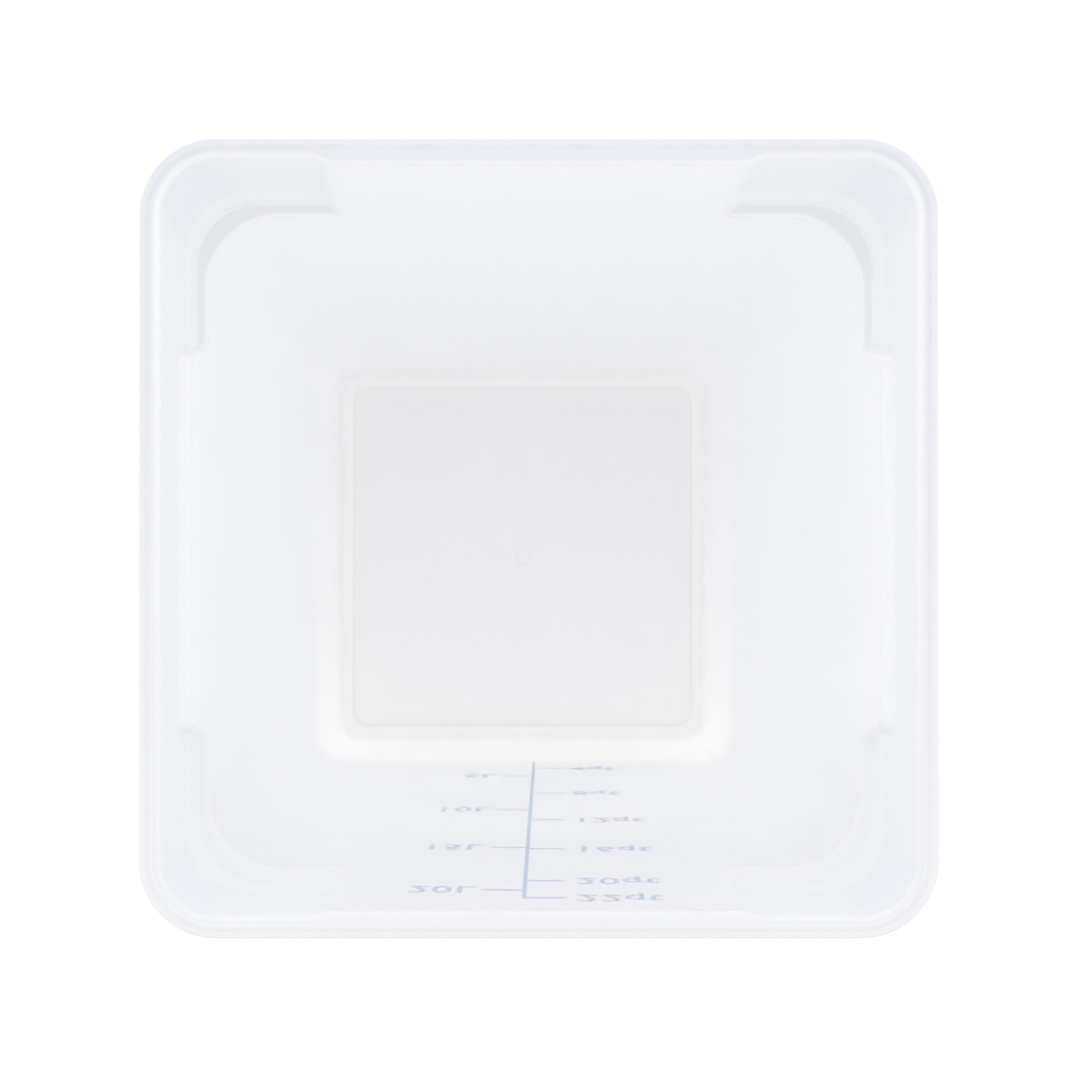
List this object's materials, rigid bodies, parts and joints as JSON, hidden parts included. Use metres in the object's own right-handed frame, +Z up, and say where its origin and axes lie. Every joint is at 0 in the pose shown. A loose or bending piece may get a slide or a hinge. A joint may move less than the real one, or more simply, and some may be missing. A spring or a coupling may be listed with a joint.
{
  "type": "square food storage container",
  "caption": "Tall square open-topped food container in milky see-through plastic, tapering to nest, with a flat rim, corner collars, side grips and a printed volume scale.",
  "frame": {"origin": "middle of the base, on the surface the container stands on", "axes": "+Z up through the open mouth; -Y is the front, which carries the printed scale; the two grips face -X and +X"},
  "size_m": [0.287, 0.287, 0.4],
  "materials": {
    "plastic": "milky translucent natural polypropylene, satin",
    "ink": "blue screen-printing ink, matt"
  },
  "bodies": {
    "root": {"container_body": "plastic", "scale_10L_1_1": "ink", "scale_10L_2_0": "ink", "scale_10L_3_L": "ink", "scale_12qt_1_1": "ink", "scale_12qt_2_2": "ink", "scale_12qt_3_q": "ink", "scale_12qt_4_t": "ink", "scale_15L_1_1": "ink", "scale_15L_2_5": "ink", "scale_15L_3_L": "ink", "scale_16qt_1_1": "ink", "scale_16qt_2_6": "ink", "scale_16qt_3_q": "ink", "scale_16qt_4_t": "ink", "scale_20L_1_2": "ink", "scale_20L_2_0": "ink", "scale_20L_3_L": "ink", "scale_20qt_1_2": "ink", "scale_20qt_2_0": "ink", "scale_20qt_3_q": "ink", "scale_20qt_4_t": "ink", "scale_22qt_1_2": "ink", "scale_22qt_2_2": "ink", "scale_22qt_3_q": "ink", "scale_22qt_4_t": "ink", "scale_4qt_1_4": "ink", "scale_4qt_2_q": "ink", "scale_4qt_3_t": "ink", "scale_5L_1_5": "ink", "scale_5L_2_L": "ink", "scale_8qt_1_8": "ink", "scale_8qt_2_q": "ink", "scale_8qt_3_t": "ink", "scale_line": "ink"}
  },
  "joints": []
}
